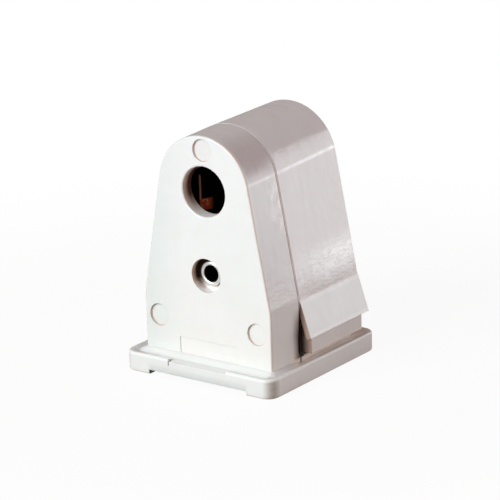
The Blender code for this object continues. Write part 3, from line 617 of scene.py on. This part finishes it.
        # Painted shadow: black deep in the slot, tan towards its rim
        self.paint(slot, self.mix(self.where(beside=SLOT_RIM_ASIDE), SLOT_SHADE_BLACK, SLOT_RIM_SHADE))
        if not self.rear:
            slot_mouth_shade = self.where(along=SLOT_MOUTH_BEHIND, beside=SLOT_MOUTH_ASIDE)
            # Painted shade before the slot
            self.paint(self.product(slot_mouth_shade, self.band(self.up, *SLOT_MOUTH_HEIGHTS)), SLOT_MOUTH_SHADE, 0.92)
        return slot

    def add_flange_tones(self):
        """Painted light on the flange's rim and apron, painted shade on its front and below it between the
        feet, and painted shadow beside the feet's front ends.
        """
        # Painted light on the rim's side and on the apron
        self.tint(self.where(across=RIM_ASIDE, up=RIM_BELOW), RIM_SIDE_LIGHT_TINT)
        self.tint(self.product(self.behind_face(APRON_DEPTH), self.where(up=APRON_ABOVE)), APRON_LIGHT_TINT)
        # Painted shade on the flange's front, darker still below it between the feet
        front = self.where(along=FLANGE_FRONT_BEFORE, up=FLANGE_FRONT_BELOW)
        self.tint(front, FLANGE_FRONT_SHADE_TINT)
        self.tint(self.product(front, self.where(up=UNDER_FLANGE, beside=BETWEEN_FEET)), UNDER_FLANGE_SHADE_TINT)
        # Painted shadow beside each foot's front end
        notch = self.math("ABSOLUTE", self.math("SUBTRACT", self.beside, FOOT_INNER))
        notch = self.product(self.spread(notch, *THIN_LINE), self.where(up=NOTCH_BELOW, along=NOTCH_BEHIND))
        self.paint(notch, NOTCH_SHADOW, 0.9)

    def add_mark_rings(self):
        """A thin brown ring of painted shadow round each of the three ejector marks."""
        aside = self.math("SUBTRACT", self.beside, LOW_MARK_ASIDE)
        low_ring = self.math("SUBTRACT", self.reach(aside, LOW_MARK_HEIGHT), MARK_RADIUS)
        top_ring = self.math("SUBTRACT", self.reach(self.across, TOP_MARK_HEIGHT), MARK_RADIUS)
        ring = self.math("MINIMUM", self.math("ABSOLUTE", low_ring), self.math("ABSOLUTE", top_ring))
        start, end = MARK_DEPTH
        ring = self.product(self.spread(ring, *THIN_LINE), self.behind_face(start), self.behind_face(end))
        # Painted shadow round the marks
        self.paint(ring, MARK_RING_SHADOW, 0.45)

    def add_turned_corner(self):
        """Brown shading at the flange's front right corner."""
        round_corner = self.math("ADD", self.across, self.along)
        turned = self.where(across=TURNED_ASIDE, up=TURNED_BELOW, along=TURNED_BEFORE)
        turned = self.product(turned, self.band(round_corner, TURNED_START, TURNED_END))
        self.tint(self.product(turned, self.spread(self.smear, 0.35, 0.6, 0.85, 1.0)), TURNED_TINT)

    def add_highlight_line(self):
        """The painted highlight line along the crown, which is also glossier. Returns its mask."""
        line = self.math("ADD", self.product(self.along, RIDGE_SLOPE), RIDGE_HEIGHT)
        line = self.math("ABSOLUTE", self.math("SUBTRACT", self.up, line))
        glint = self.spread(self.noise(0.45, stretch=(0.0, 1.0, 0.0)), 0.35, 0.6, 0.35, 1.0)
        glint = self.product(glint, self.where(along=RIDGE_TO_REAR))
        highlight_line = self.product(self.smooth(line, *RIDGE_WIDTH), glint, self.outside)
        # Painted highlight along the crown
        self.paint(highlight_line, WHITE, 0.9)
        return highlight_line

    def set_gloss(self, highlight_line, rub_highlight, shaded):
        """Sets how strongly the surface shines, and returns its roughness."""
        shine = self.product(highlight_line, RIDGE_SHINE)
        if rub_highlight is not None:
            shine = self.math("ADD", shine, self.product(rub_highlight, RUB_SHINE * SIDE_MARK_SHARE))
        specular = self.product(self.math("SUBTRACT", 1.0, shaded), self.math("ADD", shine, 0.5))
        self.join(specular, self.surface.inputs["Specular IOR Level"])
        roughness = self.spread(self.noise(2.4, detail=4.0, rough=0.6), 0.3, 0.7, 0.12, 0.18)
        roughness = self.product(roughness, self.math("SUBTRACT", 1.0, self.product(highlight_line, 0.55)))
        return self.most(roughness, self.product(self.most(self.pin_wall, self.rivet_wall), WALL_ROUGHNESS))

    def relief(self):
        """Soft edges with a mould's waves, draw streaks, ripples and grain over them."""
        rubbed = self.product(self.band(self.up, *RIPPLE_HEIGHTS), self.outside)
        streak = self.noise(0.8, detail=2.5, rough=0.6, stretch=(0.1, 1.0, 0.1))
        ripple = self.noise(1.0, detail=3.0, rough=0.6, stretch=(0.5, 0.5, 1.7), distortion=0.6)
        ripple = self.product(ripple, self.math("ADD", self.product(rubbed, 0.75), 0.35))
        normal = self.bump(self.noise(0.13), WAVE_DEPTH, self.rounded)
        normal = self.bump(streak, STREAK_DEPTH, normal)
        normal = self.bump(ripple, RIPPLE_DEPTH, normal)
        normal = self.bump(self.product(self.fine, rubbed), FINE_DEPTH, normal)
        return self.bump(self.noise(3.0, detail=3.0), GRAIN_DEPTH, normal)


def white_moulding(name, tones, rear):
    """Moulded plastic: flow marks, draw streaks, a rubbed patch, painted highlights and shades, soft edges
    and dust with painted shade in the corners.
    """
    shader = Moulding(name, tones, rear)
    shader.add_dust_and_shade()
    shader.add_age()
    rub_highlight = shader.add_rub_highlight_and_band() if rear else None
    shader.add_wings()
    shader.add_flanks()
    shader.add_edges()
    # Painted light and shade on the pin hole's wall
    pin_bore_shade = shader.add_bore(
        shader.pin_wall, PIN_WALL_LIGHT_TONES, PIN_WALL_TOP, PIN_DARK_TOP, PIN_WALL_DEPTH, PIN_WALL_SHADE, 0.93
    )
    slot = shader.add_parting()
    # Painted light and shade on the counterbore's wall
    rivet_bore_shade = shader.add_bore(
        shader.rivet_wall, RIVET_WALL_LIGHT_TONES, RIVET_WALL_TOP, RIVET_WALL_TOP,
        RIVET_WALL_DEPTH, RIVET_WALL_SHADE, 0.97,
    )
    hollow_shade = shader.inside_housing()
    # Painted shade: the hollow inside the housings painted near black
    shader.paint(hollow_shade, HOLLOW_SHADE, 0.995)
    shader.add_flange_tones()
    shader.add_mark_rings()
    shader.add_turned_corner()
    highlight_line = shader.add_highlight_line()
    roughness = shader.set_gloss(highlight_line, rub_highlight, shader.most(hollow_shade, pin_bore_shade, rivet_bore_shade, slot))
    return shader.finish(
        shader.base, roughness, shader.relief(), ior=1.53, subsurface_weight=0.08, subsurface_scale=0.5 * MM
    )


def seam_filler():
    """The tongue's lip in the seam: a painted highlight over the crown, and painted brown and black shade
    down the sides.
    """
    shader = Shader("seam_lip")
    seam_noise = shader.noise(0.7, detail=3.0, rough=0.6)
    light, dark = SEAM_SHADE_TONES
    # Painted shade: brown down the sides, black below the kink
    brown = shader.mix(shader.spread(seam_noise, 0.35, 0.65), light, dark)
    brown = shader.mix(shader.where(up=LIP_SHADE_BELOW), brown, SLOT_SHADE_BLACK)
    # Painted highlight over the crown
    lip_highlight = shader.spread(shader.math("ADD", shader.up, seam_noise), *LIP_HIGHLIGHT_ABOVE)
    base = shader.mix(lip_highlight, brown, LIP_HIGHLIGHT)
    normal = shader.bump(shader.noise(3.0, detail=3.0), SMALL_GRAIN)
    return shader.finish(base, shader.spread(seam_noise, 0.3, 0.7, 0.4, 0.6), normal, ior=1.5)


def bright_plating():
    """Bright plated steel, with draw lines round the rolled head and painted shade in the bore."""
    shader = Shader("bright_plating")
    rings = shader.noise(9.0, detail=3.0, stretch=(0.25, 1.0, 0.25))
    tarnish = shader.noise(0.9, detail=4.0, rough=0.6)
    bright, dull = PLATING_TONES
    base = shader.mix(shader.spread(tarnish, 0.35, 0.7), bright, dull)
    bore = shader.spread(shader.reach(shader.across, RIVET_AXIS), *RIVET_BORE)
    # Painted shade: the bore painted black
    base = shader.mix(bore, base, RIVET_BORE_SHADE)
    normal = shader.bump(rings, SMALL_GRAIN, shader.soft_edges(METAL_EDGE))
    return shader.finish(base, shader.spread(rings, 0.3, 0.7, 0.26, 0.42), normal, metallic=0.72)


def copper_strip():
    """Rolled copper strip: a painted highlight along its front edge, a painted red-brown patch of light with
    glints low on the jaw, and painted shade, black, elsewhere.
    """
    shader = Shader("copper_strip")
    rolled = shader.noise(6.0, detail=3.0, stretch=(1.0, 0.12, 1.0))
    oxide = shader.spread(shader.noise(0.8, detail=4.0, rough=0.62, distortion=0.4), 0.38, 0.62)
    flare = shader.product(shader.band(shader.up, *FLARE_HEIGHTS), shader.where(along=FLARE_BEFORE))
    edge = shader.where(along=JAW_EDGE)
    clean, dull = COPPER_TONES
    # Painted shade: black except on the flare's lit patch and the front edge
    base = shader.mix(shader.most(flare, edge), COPPER_SHADE_BLACK, shader.mix(oxide, clean, dull))
    # Painted highlight along the front edge
    base = shader.mix(edge, base, COPPER_EDGE_HIGHLIGHT)
    red, brown = FLARE_LIGHT_TONES
    glint_fleck = shader.spread(shader.noise(1.6), 0.5, 0.62)
    glint_fleck = shader.product(glint_fleck, shader.where(along=FLARE_FLECK_BEFORE), 0.8)
    # Painted light: the red-brown lit patch on the flare, with glints
    base = shader.mix(flare, base, shader.mix(glint_fleck, shader.mix(oxide, red, brown), FLARE_GLINT))
    shader.join(shader.math("SUBTRACT", 1.0, flare), shader.surface.inputs["Metallic"])
    normal = shader.bump(rolled, ROLLED_GRAIN, shader.soft_edges(METAL_EDGE))
    return shader.finish(base, shader.spread(rolled, 0.3, 0.7, 0.3, 0.5), normal)


def spring_steel():
    """Rolled spring steel with fine lengthwise lines."""
    shader = Shader("spring_steel")
    rolled = shader.noise(7.0, detail=3.0, stretch=(1.0, 1.0, 0.1))
    grey, blued = STEEL_TONES
    base = shader.mix(shader.spread(shader.noise(0.5, detail=3.0), 0.35, 0.65), grey, blued)
    normal = shader.bump(rolled, SMALL_GRAIN, shader.soft_edges(METAL_EDGE))
    return shader.finish(base, shader.spread(rolled, 0.3, 0.7, 0.24, 0.4), normal, metallic=1.0)


# Clean shading on the CAD meshes

def smoothing_group():
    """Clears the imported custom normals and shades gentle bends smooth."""
    group = bpy.data.node_groups.new("shade_by_angle", "GeometryNodeTree")
    group.interface.new_socket("Geometry", in_out="INPUT", socket_type="NodeSocketGeometry")
    group.interface.new_socket("Geometry", in_out="OUTPUT", socket_type="NodeSocketGeometry")
    nodes = Nodes(group)
    start = nodes.node("NodeGroupInput")
    end = nodes.node("NodeGroupOutput")
    clear = nodes.node("GeometryNodeRemoveAttribute")
    clear.inputs["Name"].default_value = "custom_normal"
    faces = nodes.node("GeometryNodeSetShadeSmooth", domain="FACE")
    faces.inputs["Shade Smooth"].default_value = True
    edges = nodes.node("GeometryNodeSetShadeSmooth", domain="EDGE")
    angle = nodes.node("GeometryNodeInputMeshEdgeAngle")
    gentle = nodes.node("FunctionNodeCompare", data_type="FLOAT", operation="LESS_THAN")
    gentle.inputs[1].default_value = SMOOTH_ANGLE
    nodes.join(start.outputs[0], clear.inputs["Geometry"])
    nodes.join(clear.outputs["Geometry"], faces.inputs["Geometry"])
    nodes.join(faces.outputs["Geometry"], edges.inputs["Geometry"])
    nodes.join(angle.outputs["Unsigned Angle"], gentle.inputs[0])
    nodes.join(gentle.outputs["Result"], edges.inputs["Shade Smooth"])
    nodes.join(edges.outputs["Geometry"], end.inputs[0])
    return group


def smooth_node(obj, group):
    """Welds a CAD mesh, merges its flat faces and shades it, all by modifiers."""
    weld = obj.modifiers.new("Join corners", "WELD")
    weld.merge_threshold = WELD_DISTANCE
    flat = obj.modifiers.new("Merge flat faces", "DECIMATE")
    flat.decimate_type = "DISSOLVE"
    flat.angle_limit = FLAT_ANGLE
    shade = obj.modifiers.new("Shade by angle", "NODES")
    shade.node_group = group
    weigh = obj.modifiers.new("Keep flat faces flat", "WEIGHTED_NORMAL")
    weigh.keep_sharp = True
    weigh.weight = 100


def dress(node, material):
    obj = frame["nodes"][node]
    obj.data.materials.clear()
    obj.data.materials.append(material)
    smooth_node(obj, shade_group)


shade_group = smoothing_group()
dress("front_housing", white_moulding("white_moulding", FRONT_TONES, rear=False))
dress("rear_housing", white_moulding("white_moulding_rear", REAR_TONES, rear=True))
dress("tubular_rivet", bright_plating())
dress("lamp_contact", copper_strip())
steel = spring_steel()
for spring in ("wire_spring_1", "wire_spring_2"):
    dress(spring, steel)


# Added detail

def outline_half(grow):
    """The housing's outline on the right, from the flange up to the top of the crown, in millimetres."""
    half_width = OUTLINE_HALF_WIDTH + grow
    radius = OUTLINE_CROWN_RADIUS + grow
    drop = CROWN_HEIGHT - KINK_HEIGHT
    tangent = math.atan2(-drop, half_width) + math.acos(radius / math.hypot(half_width, drop))
    cut = OUTLINE_KINK_RADIUS * math.tan(tangent / 2)
    points = [(half_width, LIP_FOOT)]
    for step in range(KINK_STEPS + 1):
        angle = tangent * step / KINK_STEPS
        across = half_width - OUTLINE_KINK_RADIUS * (1.0 - math.cos(angle))
        points.append((across, KINK_HEIGHT - cut + OUTLINE_KINK_RADIUS * math.sin(angle)))
    for step in range(CROWN_STEPS + 1):
        angle = tangent + (math.pi / 2 - tangent) * step / CROWN_STEPS
        points.append((radius * math.cos(angle), CROWN_HEIGHT + radius * math.sin(angle)))
    return points


def outline(grow):
    """The whole outline, over the crown from foot to foot."""
    right = outline_half(grow)
    return right + [(-across, up) for across, up in reversed(right[:-1])]


def seam_lip():
    """The lip of the tongue that shows in the seam, just below the surface: a closed band."""
    front, back = SEAM_MIDDLE - LIP_HALF_LENGTH, SEAM_MIDDLE + LIP_HALF_LENGTH
    shape = bmesh.new()
    rings = []
    for grow, along in ((LIP_OUTER, front), (LIP_OUTER, back), (LIP_INNER, back), (LIP_INNER, front)):
        rings.append([shape.verts.new((x * MM, along * MM, z * MM)) for x, z in outline(grow)])
    for index, ring in enumerate(rings):
        other = rings[(index + 1) % len(rings)]
        for step in range(len(ring) - 1):
            shape.faces.new((ring[step], ring[step + 1], other[step + 1], other[step]))
    for end in (0, -1):
        shape.faces.new([ring[end] for ring in rings])
    bmesh.ops.recalc_face_normals(shape, faces=shape.faces)
    mesh = bpy.data.meshes.new("seam_lip")
    shape.to_mesh(mesh)
    shape.free()
    lip = bpy.data.objects.new("seam_lip", mesh)
    scene.collection.objects.link(lip)
    mesh.materials.append(seam_filler())
    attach(lip, "root")


seam_lip()


# Floor, light and camera

def white_for_camera(nodes, shade, share):
    """Mixes plain white into what the camera sees, directly or by way of a shine.

    The share of white is a number or a socket.
    """
    path = nodes.node("ShaderNodeLightPath")
    shine = nodes.product(path.outputs["Is Glossy Ray"], GLOSSY_WHITE)
    seen = nodes.most(shine, path.outputs["Is Camera Ray"], path.outputs["Is Transmission Ray"])
    white = nodes.node("ShaderNodeEmission")
    nodes.join(WHITE, white.inputs["Color"])
    white.inputs["Strength"].default_value = 1.0
    mixed = nodes.node("ShaderNodeMixShader")
    nodes.join(nodes.product(seen, share), mixed.inputs["Fac"])
    nodes.join(shade, mixed.inputs[1])
    nodes.join(white.outputs[0], mixed.inputs[2])
    return mixed.outputs[0]


def make_floor():
    """A round pale table top, whose white fades into the background towards its rim."""
    bpy.ops.mesh.primitive_circle_add(vertices=96, radius=FLOOR_RADIUS, fill_type="NGON")
    floor = bpy.context.object
    floor.name = "floor"
    material = bpy.data.materials.new("floor")
    material.use_nodes = True
    nodes = Nodes(material.node_tree)
    output = nodes.node("ShaderNodeOutputMaterial")
    path = nodes.node("ShaderNodeLightPath")
    paper = nodes.node("ShaderNodeBsdfDiffuse")
    nodes.join(nodes.mix(path.outputs["Is Camera Ray"], FLOOR_BOUNCE, WHITE), paper.inputs["Color"])
    where = nodes.node("ShaderNodeTexCoord")
    reach = nodes.node("ShaderNodeVectorMath", operation="LENGTH")
    nodes.join(where.outputs["Object"], reach.inputs[0])
    fade = nodes.smooth(reach.outputs["Value"], FLOOR_RADIUS * 0.35, FLOOR_RADIUS * 0.98, FLOOR_WHITE, 1.0)
    nodes.join(white_for_camera(nodes, paper.outputs[0], fade), output.inputs["Surface"])
    floor.data.materials.append(material)


def make_world():
    """A dim, slightly mauve room, lighter towards the horizon."""
    world = bpy.data.worlds.new("studio")
    scene.world = world
    world.use_nodes = True
    nodes = Nodes(world.node_tree)
    output = nodes.node("ShaderNodeOutputWorld")
    where = nodes.node("ShaderNodeTexCoord")
    split = nodes.node("ShaderNodeSeparateXYZ")
    nodes.join(where.outputs["Generated"], split.inputs[0])
    tone = nodes.mix(nodes.spread(split.outputs["Z"], 0.0, 0.9), ROOM_LOW, ROOM_HIGH)
    soft = nodes.node("ShaderNodeBackground")
    nodes.join(tone, soft.inputs["Color"])
    nodes.join(white_for_camera(nodes, soft.outputs[0], 1.0), output.inputs["Surface"])


def area_light(name, azimuth, elevation, distance, size, power, tint, turn=0.0):
    """A soft light, placed by the angles that it shines on the holder from and turned about its axis."""
    data = bpy.data.lights.new(name, "AREA")
    data.shape = "RECTANGLE"
    data.size, data.size_y = size
    data.energy = power
    data.color = tint
    lamp = bpy.data.objects.new(name, data)
    scene.collection.objects.link(lamp)
    azimuth, elevation = math.radians(azimuth), math.radians(elevation)
    flat = math.cos(elevation)
    away = Vector((math.sin(azimuth) * flat, -math.cos(azimuth) * flat, math.sin(elevation)))
    lamp.location = Vector(LIGHT_TARGET) + away * distance
    aim = (-away).to_track_quat("-Z", "Y") @ Quaternion((0.0, 0.0, 1.0), math.radians(turn))
    lamp.rotation_euler = aim.to_euler()
    lamp.visible_camera = False


def make_lights():
    """A key from the front, a weak side light, and a narrow box behind that rims the right side."""
    area_light(
        "key", azimuth=-15.0, elevation=23.0, distance=0.9,
        size=(0.55, 0.55), power=8.4, tint=(0.89, 0.99, 1.0),
    )
    area_light(
        "side", azimuth=84.0, elevation=6.0, distance=0.8,
        size=(0.3, 0.3), power=0.6, tint=(0.97, 0.97, 1.0),
    )
    area_light(
        "box", azimuth=148.3, elevation=1.8, distance=0.6,
        size=(0.44, 0.36), power=1.75, tint=(0.89, 0.955, 0.985), turn=48.0,
    )


def make_camera():
    """Places the camera by the fitted angles, and rolls it about its own line of sight."""
    flat = math.cos(CAMERA_ELEVATION)
    look = Vector(
        (-math.sin(CAMERA_AZIMUTH) * flat, math.cos(CAMERA_AZIMUTH) * flat, -math.sin(CAMERA_ELEVATION))
    )
    level = Vector((math.cos(CAMERA_AZIMUTH), math.sin(CAMERA_AZIMUTH), 0.0))
    upright = level.cross(look)
    right = level * math.cos(CAMERA_ROLL) + upright * math.sin(CAMERA_ROLL)
    up = upright * math.cos(CAMERA_ROLL) - level * math.sin(CAMERA_ROLL)
    data = bpy.data.cameras.new("camera")
    data.sensor_width = SENSOR
    data.lens = CAMERA_LENS
    data.clip_start = 0.01
    data.clip_end = 20.0
    camera = bpy.data.objects.new("camera", data)
    scene.collection.objects.link(camera)
    side, rise = CAMERA_OFFSET
    place = Vector(CAMERA_TARGET) + right * side + up * rise - look * CAMERA_DISTANCE
    turned = Matrix((right, up, -look)).transposed().to_4x4()
    camera.matrix_world = Matrix.Translation(place) @ turned
    scene.camera = camera


make_floor()
make_world()
make_lights()
make_camera()
scene.view_settings.view_transform = "Standard"
